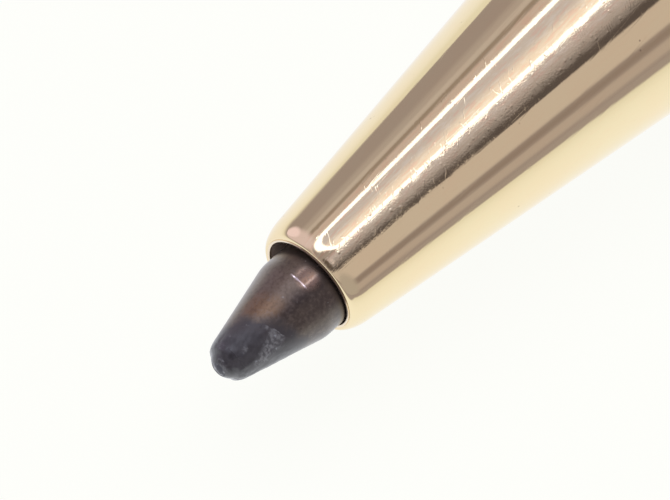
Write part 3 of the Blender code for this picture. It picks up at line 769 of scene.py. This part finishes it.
def eased(corners, steps=EASE_STEPS):
    """Rounds the corners of a closed outline, each given as (along, radius, easing)."""
    outline = []
    for index, (along, radius, easing) in enumerate(corners):
        here = Vector((along, radius))
        if not easing:
            outline.append((along, radius))
            continue
        back = Vector(corners[index - 1][:2]) - here
        ahead = Vector(corners[(index + 1) % len(corners)][:2]) - here
        half = back.angle(ahead) / 2
        reach = min(
            easing / math.tan(half), EASE_SHARE * back.length, EASE_SHARE * ahead.length
        )
        back.normalize()
        ahead.normalize()
        centre = here + (back + ahead).normalized() * (reach / math.cos(half))
        start = here + back * reach - centre
        end = here + ahead * reach - centre
        sweep = math.atan2(start.cross(end), start.dot(end))
        for step in range(steps + 1):
            outline.append(tuple(centre + Matrix.Rotation(sweep * step / steps, 2) @ start))
    return outline


def arc(centre, radius, start, end, steps):
    """Points of (along, radius) on an arc.

    Its angles are in radians from the outward direction towards the top.
    """
    points = []
    for step in range(steps + 1):
        angle = start + (end - start) * step / steps
        points.append((centre[0] + radius * math.sin(angle), centre[1] + radius * math.cos(angle)))
    return points


def span(node):
    """Where a solid starts and ends along the pen."""
    start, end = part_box(node)
    return (start.x - mouth) / MM, (end.x - mouth) / MM


def nose_radius(along):
    """Outer radius of the lower barrel, without the easing of its lip."""
    if along <= blend_start:
        return mouth_radius + along * nose_slope
    drop = max(0.0, blend_end - along)
    return barrel_radius - NOSE_BLEND_RADIUS + math.sqrt(NOSE_BLEND_RADIUS**2 - drop**2)


def shell_bore(along):
    """Inner radius of the lower barrel, whose wall thins towards the lip."""
    thinned = (BARREL_WALL - LIP_WALL) * max(0.0, 1 - along / blend_end)
    return nose_radius(along) - BARREL_WALL + thinned


def make_lower_barrel(material):
    """Drawn shell: burnished lip, cone nose and barrel in one piece."""
    top = span("lower_barrel")[1]
    outer = []
    for step in range(LIP_STEPS + 1):
        angle = math.pi / 2 * (1 - step / LIP_STEPS)
        along = LIP_EASE_LENGTH * (1 - math.sin(angle))
        outer.append((along, nose_radius(along) - LIP_EASE_DEPTH * (1 - math.cos(angle))))
    blend = [
        blend_start + (blend_end - blend_start) * step / BLEND_STEPS
        for step in range(BLEND_STEPS + 1)
    ]
    edge = (top - EDGE_EASE, barrel_radius - EDGE_EASE)
    outer += [(along, nose_radius(along)) for along in blend]
    outer += arc(edge, EDGE_EASE, 0, math.pi / 2, EASE_STEPS)
    inner = [(top, shell_bore(top))]
    inner += [(along, shell_bore(along)) for along in reversed(blend)]
    inner.append((LIP_INNER_DEPTH, shell_bore(LIP_INNER_DEPTH)))
    inner.append((LIP_INNER_DEPTH, LIP_BORE - LIP_INNER_STEP))
    return turned("lower_barrel_skin", outer + inner, material)


def make_nose_bushing(material):
    """Bush whose front edge shows inside the lip."""
    front, back = span("nose_bushing")
    front -= BUSH_RIM_PROUD
    seat_start = BUSH_SEAT - (BUSH_REAR_BORE - BUSH_BORE)
    corners = [
        (front, BUSH_RIM_BORE, BUSH_RIM_EASE),
        (front, LIP_BORE - BUSH_RIM_GAP, BUSH_SEAM_EASE),
        (back, shell_bore(back) - PRESS_GAP, BUSH_REAR_EASE),
        (back, BUSH_REAR_BORE, BUSH_REAR_EASE),
        (BUSH_SEAT, BUSH_REAR_BORE, 0),
        (seat_start, BUSH_BORE, 0),
    ]
    return turned("nose_bushing_skin", eased(corners), material)


def point_outline():
    """Outside of the refill point, from its rim to the end of its shank, in short steps."""
    slope = math.radians(POINT_HALF_ANGLE)
    rim_angle = -math.asin((point_end_middle - RIM_HEIGHT) / POINT_END_RADIUS)
    foot_radius = POINT_END_RADIUS * math.cos(slope)
    cone_foot = point_end_middle - POINT_END_RADIUS * math.sin(slope)
    cone_top = cone_foot + (SHANK_RADIUS - foot_radius) / math.tan(slope)
    corner_along = cone_top + SHANK_CORNER_RADIUS * math.tan(slope / 2)
    corner = (corner_along, SHANK_RADIUS - SHANK_CORNER_RADIUS)
    outline = arc((point_end_middle, 0), POINT_END_RADIUS, rim_angle, -slope, POINT_END_STEPS)
    shoulder = arc(corner, SHANK_CORNER_RADIUS, -slope, 0, SHOULDER_STEPS)
    start, end = outline[-1], shoulder[0]
    for step in range(1, CONE_STEPS):
        share = step / CONE_STEPS
        along = start[0] + (end[0] - start[0]) * share
        outline.append((along, start[1] + (end[1] - start[1]) * share))
    return outline + shoulder


def make_refill_point(material):
    """Turned point with its ball socket and its tail."""
    tail_end = span("refill_point")[1]
    shank_end = tail_end - TAIL_LENGTH
    socket = BALL_RADIUS + BALL_PLAY
    duct_angle = math.acos(DUCT_RADIUS / socket)
    rim_angle = math.asin((RIM_HEIGHT - ball_middle) / socket)
    outline = point_outline()
    outline += [(shank_end, SHANK_RADIUS), (shank_end, TAIL_RADIUS)]
    outline += [(tail_end, TAIL_RADIUS), (tail_end, DUCT_RADIUS)]
    outline += arc((ball_middle, 0), socket, duct_angle, rim_angle, SOCKET_STEPS)
    return turned("refill_point_skin", outline, material, point_axis, POINT_SIDES)


def ink_depth(along, angle):
    """Depth of the dried ink on the point; below 0 the metal is bare."""
    place = Vector((along, math.sin(angle), math.cos(angle)))
    edge = INK_EDGE - INK_EDGE_SLOPE * math.sin(angle)
    edge += sum(depth * noise.noise(place * rate) for rate, depth in INK_EDGE_WAVES)
    cover = min(1.0, max(-1.0, (edge - along) / INK_EDGE_SOFTNESS))
    lumps = noise.fractal(place * INK_LUMPS_PER_MM, *INK_LUMP_OCTAVES)
    return INK_THICKNESS * cover + INK_LUMPS * max(0.0, cover) * (INK_LUMP_LIFT + lumps)


def make_dried_ink(material):
    """Skin of dried ink round the ball and up the cone."""
    cap_angles = [math.radians(angle) for angle in INK_CAP_ANGLES]
    inner_angles = [math.radians(angle) for angle in INK_INNER_ANGLES]
    cap_radius = POINT_END_RADIUS - INK_CAP_INSET
    cap = arc((point_end_middle, 0), cap_radius, *cap_angles, INK_CAP_STEPS)
    outer = [point for point in point_outline() if point[0] < INK_EDGE + INK_REACH]
    under = [(along, radius - INK_UNDER) for along, radius in reversed(outer)]
    inner_radius = BALL_RADIUS + INK_INNER_GAP
    inner = arc((ball_middle, 0), inner_radius, *inner_angles, INK_INNER_STEPS)
    outside = len(cap) + len(outer)

    loops = []
    for index, (along, radius) in enumerate(cap + outer + under[:-POINT_END_STEPS] + inner):
        loop = []
        for angle in angles_round(POINT_SIDES):
            depth = ink_depth(along, angle) if index < outside else 0.0
            if index < len(cap):
                depth *= INK_CAP_SHARE * index / len(cap)
            loop.append(spot(along, radius + depth, angle, point_axis))
        loops.append(loop)
    return loft("dried_ink", loops, material, True)


def make_refill_ball(material):
    """Writing ball."""
    outline = arc((ball_middle, 0), BALL_RADIUS, -math.pi / 2, math.pi / 2, BALL_STEPS)
    outline[0] = (outline[0][0], 0)
    outline[-1] = (outline[-1][0], 0)
    return turned("refill_ball_skin", outline, material, point_axis, BALL_SIDES)


def make_centre_ring(material):
    """Trim ring at the twist joint with its fine groove."""
    start, end = span("centre_ring")
    radius = barrel_radius - PRESS_GAP
    middle = (start + end) / 2
    corners = [
        (start, RING_BORE, 0),
        (start, radius, EDGE_EASE),
        (middle - RING_GROOVE, radius, RING_GROOVE_EASE),
        (middle, radius - RING_GROOVE, RING_GROOVE_EASE),
        (middle + RING_GROOVE, radius, RING_GROOVE_EASE),
        (end, radius, EDGE_EASE),
        (end, RING_BORE, 0),
    ]
    return turned("centre_ring_skin", eased(corners), material)


def make_upper_barrel(material):
    """Tube that the hand turns."""
    start, end = span("upper_barrel")
    bore = barrel_radius - BARREL_WALL
    corners = [
        (start, bore, 0),
        (start, barrel_radius, EDGE_EASE),
        (end, barrel_radius, EDGE_EASE),
        (end, bore, 0),
    ]
    return turned("upper_barrel_skin", eased(corners), material)


def make_finial(material):
    """Turned button with its stud, flat on top."""
    stud, top = span("finial")
    foot = span("clip_band")[1] + FINIAL_GAP
    radius = barrel_radius - PRESS_GAP
    corners = [
        (foot, STUD_RADIUS, 0),
        (foot, radius, EDGE_EASE),
        (foot + FINIAL_FOOT, radius, FINIAL_SHOULDER),
        (top, radius - FINIAL_TAPER, FINIAL_CROWN),
        (top, 0, 0),
        (stud, 0, 0),
        (stud, STUD_RADIUS, STUD_EASE),
    ]
    outline = eased(corners, FINIAL_STEPS)
    first = next(index for index, point in enumerate(outline) if point[1] == 0) + 1
    return turned("finial_skin", outline[first:] + outline[:first], material)


def clip_stations():
    """Cross sections down the clip, from its tongue to its tip.

    Each is an outer and an inner point of (along, radius) with the width there.
    """
    band_start, band_end = span("clip_band")
    tongue_top = band_end - CLIP_TONGUE_PLAY
    tongue_bottom = band_start + CLIP_TONGUE_PLAY
    hinge = (band_start + band_end) / 2
    tongue_end = barrel_radius - CLIP_TONGUE
    outer_radius = barrel_radius + CLIP_TOP_GAP + CLIP_THICKNESS
    inner_radius = barrel_radius + CLIP_TOP_GAP
    outer_corner = (tongue_top - CLIP_BEND_RADIUS, outer_radius - CLIP_BEND_RADIUS)
    inner_corner = (tongue_bottom - CLIP_INNER_RADIUS, inner_radius - CLIP_INNER_RADIUS)
    arm_end = hinge - CLIP_LENGTH
    tip = CLIP_THICKNESS / 2
    arm_stop = arm_end + tip
    end_middle = barrel_radius + CLIP_END_GAP + tip
    pad_depth = CLIP_END_GAP - CLIP_PAD_GAP
    pad_half = math.sqrt(CLIP_PAD_RADIUS**2 - (CLIP_PAD_RADIUS - pad_depth) ** 2)
    pad_middle = arm_end + 2 * tip + pad_half
    plan_round = CLIP_END_WIDTH / 2

    def width(along):
        down = min(1.0, max(0.0, (hinge - along) / CLIP_LENGTH))
        taper = CLIP_TOP_WIDTH + (CLIP_END_WIDTH - CLIP_TOP_WIDTH) * down
        left = min(1.0, max(0.0, (along - arm_end) / plan_round))
        return taper * math.sqrt(max(0.0, 1 - (1 - left) ** 2))

    stations = []
    for share in CLIP_TONGUE_SHARES:
        radius = tongue_end + (inner_corner[1] - tongue_end) * share
        stations.append(((tongue_top, radius), (tongue_bottom, radius), width(tongue_bottom)))
    outer_bend = arc(outer_corner, CLIP_BEND_RADIUS, math.pi / 2, 0, CLIP_BEND_STEPS)
    inner_bend = arc(inner_corner, CLIP_INNER_RADIUS, math.pi / 2, 0, CLIP_BEND_STEPS)
    stations += [(out, into, width(out[0])) for out, into in zip(outer_bend, inner_bend)]
    arm_start = min(outer_bend[-1][0], inner_bend[-1][0])
    for step in range(1, CLIP_ARM_STEPS + 1):
        share = step / CLIP_ARM_STEPS
        along = arm_start + (arm_stop - arm_start) * share
        middle = (outer_radius + inner_radius) / 2
        middle += (end_middle - middle) * share
        off_pad = along - pad_middle
        pad = 0.0
        if abs(off_pad) < pad_half:
            pad = math.sqrt(CLIP_PAD_RADIUS**2 - off_pad**2) - (CLIP_PAD_RADIUS - pad_depth)
        stations.append(((along, middle + tip), (along, middle - tip - pad), width(along)))
    for step in range(1, CLIP_TIP_STEPS + 1):
        angle = math.pi / 2 * step / CLIP_TIP_STEPS
        along = arm_stop - tip * math.sin(angle)
        half = tip * math.cos(angle)
        stations.append(((along, end_middle + half), (along, end_middle - half), width(along)))
    return stations


def clip_axes():
    """Directions out from the barrel and across the clip, where both touch the table."""
    outer_radius = barrel_radius + CLIP_TOP_GAP + CLIP_THICKNESS
    corner = math.hypot(outer_radius, CLIP_TOP_WIDTH / 2)
    roll = math.acos(barrel_radius / corner) + math.atan2(CLIP_TOP_WIDTH / 2, outer_radius)
    outward = Vector((0, -math.sin(roll), -math.cos(roll)))
    across = Vector((0, math.cos(roll), -math.sin(roll)))
    return outward, across


def make_clip_band(material):
    """Washer under the finial, notched for the clip's tongue."""
    start, end = span("clip_band")
    outward, across = clip_axes()
    radius = barrel_radius - PRESS_GAP
    bore = STUD_RADIUS + BAND_PLAY
    half = CLIP_TOP_WIDTH / 2 + CLIP_TONGUE_PLAY
    floor = barrel_radius - CLIP_TONGUE - CLIP_TONGUE_PLAY
    opening = math.asin(half / radius)
    plan = [(floor, -half), (floor, half)]
    for step in range(SIDES + 1):
        angle = opening + 2 * (math.pi - opening) * step / SIDES
        plan.append((radius * math.cos(angle), radius * math.sin(angle)))

    def level(along, inset):
        """The plan drawn in by an inset, or down to the bore where there is none."""
        loop = []
        for out, aside in plan:
            share = bore / math.hypot(out, aside) if inset is None else 1 - inset / radius
            place = Vector((along, 0, 0)) + (outward * out + across * aside) * share
            loop.append(tuple(mouth_middle + MM * place))
        return loop

    loops = [level(start, None), level(start, BAND_EASE), level(start + BAND_EASE, 0)]
    loops += [level(end - BAND_EASE, 0), level(end, BAND_EASE), level(end, None)]
    return loft("clip_band_skin", loops, material, True)


def make_clip(material):
    """Spring arm with softly rounded sides, a rounded free end and the pad that grips the cloth."""
    outward, across = clip_axes()

    def squared(share):
        return math.copysign(abs(share) ** CLIP_SQUARENESS, share)

    def closing(loop):
        middle = sum((Vector(point) for point in loop), Vector()) / CLIP_SIDES
        return [tuple(middle)] * CLIP_SIDES

    loops = []
    for (out_along, out_radius), (in_along, in_radius), width in clip_stations():
        loop = []
        for angle in angles_round(CLIP_SIDES):
            over = squared(math.cos(angle))
            aside = squared(math.sin(angle))
            along = (out_along + in_along) / 2 + (out_along - in_along) / 2 * over
            radius = (out_radius + in_radius) / 2 + (out_radius - in_radius) / 2 * over
            place = Vector((along, 0, 0)) + outward * radius + across * (aside * width / 2)
            loop.append(tuple(mouth_middle + MM * place))
        loops.append(loop)
    return loft("clip_skin", [closing(loops[0])] + loops + [closing(loops[-1])], material, False)


def view_axes():
    """The camera's directions in the pen's frame: into the image, right and up."""
    lean = math.radians(VIEW_LEAN)
    roll = math.radians(VIEW_ROLL)
    turn = math.radians(PEN_ANGLE_IN_IMAGE)
    facing = Vector((0, -math.sin(roll), math.cos(roll)))
    side = Vector((0, math.cos(roll), math.sin(roll)))
    into = Vector((math.sin(lean), 0, 0)) - facing * math.cos(lean)
    pen_in_image = Vector((math.cos(lean), 0, 0)) + facing * math.sin(lean)
    right = pen_in_image * math.cos(turn) - side * math.sin(turn)
    up = pen_in_image * math.sin(turn) + side * math.cos(turn)
    return into, right, up


def add_camera():
    """Long lens looking down on the nose."""
    into, right, up = view_axes()
    aside = (IMAGE_SIZE[0] / 2 - MOUTH_PIXEL[0]) / PIXELS_PER_MM
    above = (MOUTH_PIXEL[1] - IMAGE_SIZE[1] / 2) / PIXELS_PER_MM
    aim = mouth_middle + MM * (right * aside + up * above)
    camera = bpy.data.cameras.new("camera")
    camera.sensor_width = SENSOR
    camera.lens = SENSOR * CAMERA_DISTANCE * PIXELS_PER_MM / IMAGE_SIZE[0]
    camera.clip_start, camera.clip_end = CAMERA_REACH
    made = bpy.data.objects.new("camera", camera)
    frame_axes = Matrix((right, up, -into)).transposed().to_4x4()
    made.matrix_world = Matrix.Translation(aim - into * (CAMERA_DISTANCE * MM)) @ frame_axes
    bpy.context.scene.collection.objects.link(made)
    bpy.context.scene.camera = made


def panel_light(finish, bearing):
    """Light of the dim room and its long panels."""
    light = ROOM
    for start, end, softness, colour in PANELS:
        half = softness / 2
        inside = bearing.rise(start - half, start + half) * bearing.rise(end + half, end - half)
        light = finish.blend(inside, light, colour)
    return light


def add_world():
    """Dim studio of long panels over the pen with a loop lamp; white past the floor's edge."""
    world = bpy.data.worlds.new("studio")
    bpy.context.scene.world = world
    finish = Finish(world)
    x, y, z = finish.parts(finish.node("ShaderNodeTexCoord", output="Generated"))
    bearing = finish.math("ARCTAN2", y, z) * math.degrees(1)
    light = panel_light(finish, bearing)
    for middle, place, half_bearing, half_along, colour in PATCHES:
        off_patch = bearing.off(middle, half_bearing) + x.off(place, half_along)
        light = finish.blend(off_patch.rise(*PATCH_EDGE), light, colour)

    near = x.rise(*LAMP_PINCH_PLACES)
    across = abs(bearing - LAMP_BEARING - LAMP_PINCH_SHIFT * near) * math.radians(1)
    across = across / (1.0 - LAMP_PINCH * near)
    along = abs(x - sum(LAMP_ENDS) / 2) * LAMP_SQUEEZE
    half_length = (LAMP_ENDS[1] - LAMP_ENDS[0]) / 2 * LAMP_SQUEEZE
    past_side = (across - (math.radians(LAMP_HALF_WIDTH) - LAMP_CORNER)).most(0.0)
    past_end = (along - (half_length - LAMP_CORNER)).most(0.0)
    off_loop = (past_side * past_side + past_end * past_end) ** 0.5 - LAMP_CORNER
    off_tube = abs(off_loop) / (1.0 + LAMP_SWELL * near)
    glow = finish.blend(bearing.rise(*LAMP_INSIDE_BEARINGS), LAMP_INSIDE_NEAR, LAMP_INSIDE_FAR)
    light = finish.blend(off_loop.rise(*LAMP_INSIDE_EDGE), light, glow)
    light = finish.blend(off_tube.rise(*LAMP_TUBE_EDGE), light, LAMP_LIGHT)

    light = finish.blend(z.rise(*HORIZON), light, PAPER)
    seen = finish.node("ShaderNodeLightPath", output="Is Camera Ray")
    light = finish.blend(seen, light, PAPER)
    background = finish.node("ShaderNodeBackground", None, {"Color": light, "Strength": 1.0})
    finish.node("ShaderNodeOutputWorld", None, {"Surface": background})


def add_leaning_panels():
    """The panels beside the lamp again, near the pen and askew to it; only the metal shows them."""
    finish = new_finish("leaning_panels")
    askew = CARD_LEAN * finish.along().rise(*CARD_LEAN_ALONG)
    light = panel_light(finish, finish.bearing() + askew)
    shine = finish.node("ShaderNodeEmission", None, {"Color": light, "Strength": 1.0})
    finish.node("ShaderNodeOutputMaterial", None, {"Surface": shine})
    first, last = CARD_BEARINGS
    points = []
    for step in range(CARD_STEPS + 1):
        angle = math.radians(first + (last - first) * step / CARD_STEPS)
        points += [spot(along, CARD_DISTANCE, angle, pen_axis) for along in CARD_ENDS]
    faces = [(near, near + 1, near + 3, near + 2) for near in range(0, 2 * CARD_STEPS, 2)]
    card = skin("leaning_panels", points, faces, finish.owner)
    card.visible_camera = False
    card.visible_diffuse = False
    card.visible_transmission = False
    card.visible_shadow = False


def mirrored_sheet(finish):
    """White sheet under the pen as the metal mirrors it, with its ends."""
    x, y = finish.parts(finish.place())[:2]
    mirror_y, mirror_height = metres(PAPER_LEFT_MIRROR)
    near = finish.blend(y.rise(*metres(PAPER_BRIGHT_EDGE)), PAPER_NEAR, PAPER_BRIGHT)
    faded = abs(y - PAPER_MIDDLE * MM).rise(*metres(PAPER_FADE))
    sheet = finish.blend(faded, near, PAPER_FAR)
    past_right = (PAPER_MIDDLE * MM - y).rise(*metres(PAPER_RIGHT_EDGE))
    behind = (x - mouth - PAPER_LEFT_DRIFT * (y - mirror_y)) / MM - PAPER_LEFT_START
    dip = finish.math("ARCTAN2", mirror_height, y - mirror_y)
    past_left = (dip * (1.0 + PAPER_LEFT_GAIN * behind.most(0.0))).rise(*PAPER_LEFT_DIP)
    past_corner = (mouth - x).rise(*metres(PAPER_CORNER_AHEAD))
    past_corner = past_corner * y.rise(*metres(PAPER_CORNER_EDGE))
    return finish.blend(past_right.most(past_left).most(past_corner), sheet, ROOM)


def add_floor():
    """White table that stays white to the eye and in the metal, with a faint shadow."""
    half = TABLE_HALF
    height = -TABLE_DROP * MM
    corners = [(-half, -half), (half, -half), (half, half), (-half, half)]
    finish = new_finish("table")
    mottle = finish.grain(finish.place(), size=TABLE_MOTTLE)
    paint = finish.blend(mottle, *TABLE_PAINT)
    plain = finish.node("ShaderNodeBsdfDiffuse", None, {"Color": paint})
    seen = finish.node("ShaderNodeLightPath", output="Is Camera Ray")
    mirrored = finish.node("ShaderNodeLightPath", output="Is Glossy Ray")
    through = finish.node("ShaderNodeLightPath", output="Is Transmission Ray")
    light = finish.blend(mirrored, PAPER, mirrored_sheet(finish))
    white = finish.node("ShaderNodeEmission", None, {"Color": light, "Strength": 1.0})
    share = (seen + mirrored + through).least(1.0) * TABLE_WHITE_SHARE
    mixed = finish.node("ShaderNodeMixShader", None, {0: share, 1: plain, 2: white})
    finish.node("ShaderNodeOutputMaterial", None, {"Surface": mixed})
    points = [(x, y, height) for x, y in corners]
    skin("table", points, [(0, 1, 2, 3)], finish.owner)


def add_soft_lamp():
    """Broad soft lamp overhead, which the metal does not mirror."""
    lamp = bpy.data.lights.new("soft_lamp", "AREA")
    lamp.shape = "SQUARE"
    lamp.size = SOFT_LAMP_SIZE
    lamp.energy = SOFT_LAMP_ENERGY
    made = bpy.data.objects.new("soft_lamp", lamp)
    made.location = SOFT_LAMP_PLACE
    made.rotation_euler = (math.radians(SOFT_LAMP_TILT), 0, 0)
    made.visible_glossy = False
    bpy.context.scene.collection.objects.link(made)


def finish_inner_pieces(brass, steel, plastic, rubber, paste):
    """Materials for the solids that stay as they are."""
    inner = {
        "barrel_coupling": brass,
        "guide_sleeve": brass,
        "cam_sleeve": brass,
        "end_plug": brass,
        "top_bushing": brass,
        "refill_tube": brass,
        "carrier_pin": steel,
        "friction_washer": steel,
        "snap_ring": steel,
        "carrier": plastic,
        "refill_plug": plastic,
        "friction_o_ring": rubber,
        "ink_column": paste,
    }
    for name, material in inner.items():
        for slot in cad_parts[name].material_slots:
            slot.material = material


def main():
    bpy.context.scene.view_settings.view_transform = "Standard"
    add_camera()
    add_world()
    add_leaning_panels()
    add_floor()
    add_soft_lamp()
    gold = gold_filled()
    brass = turned_brass()
    tarnish = tarnished_point()
    dress(make_lower_barrel(gold), "lower_half", "gold_filled", "lower_barrel")
    dress(make_nose_bushing(bush_brass_painted_shade()), "lower_half", "brass", "nose_bushing")
    dress(make_centre_ring(gold), "lower_half", "gold_filled", "centre_ring")
    dress(make_upper_barrel(gold), "upper_half", "gold_filled", "upper_barrel")
    dress(make_finial(gold), "upper_half", "gold_filled", "finial")
    dress(make_clip_band(gold), "upper_half", "gold_filled", "clip_band")
    dress(make_clip(gold), "clip", "gold_filled", "clip")
    dress(make_refill_point(tarnish), "refill", "tarnished_point", "refill_point")
    dress(make_dried_ink(dried_ink()), "refill", "ink_paste")
    dress(make_refill_ball(carbide_ball()), "ball", "ball_carbide", "refill_ball")
    plastic = moulded_black(
        "black_plastic",
        dark=(0.016, 0.016, 0.018, 1),
        pale=(0.028, 0.028, 0.03, 1),
        size=0.12,
        roughness=0.35,
    )
    rubber = moulded_black(
        "black_rubber",
        dark=(0.012, 0.012, 0.012, 1),
        pale=(0.022, 0.021, 0.02, 1),
        size=0.08,
        roughness=0.6,
    )
    finish_inner_pieces(brass, spring_steel(), plastic, rubber, ink_paste())


main()
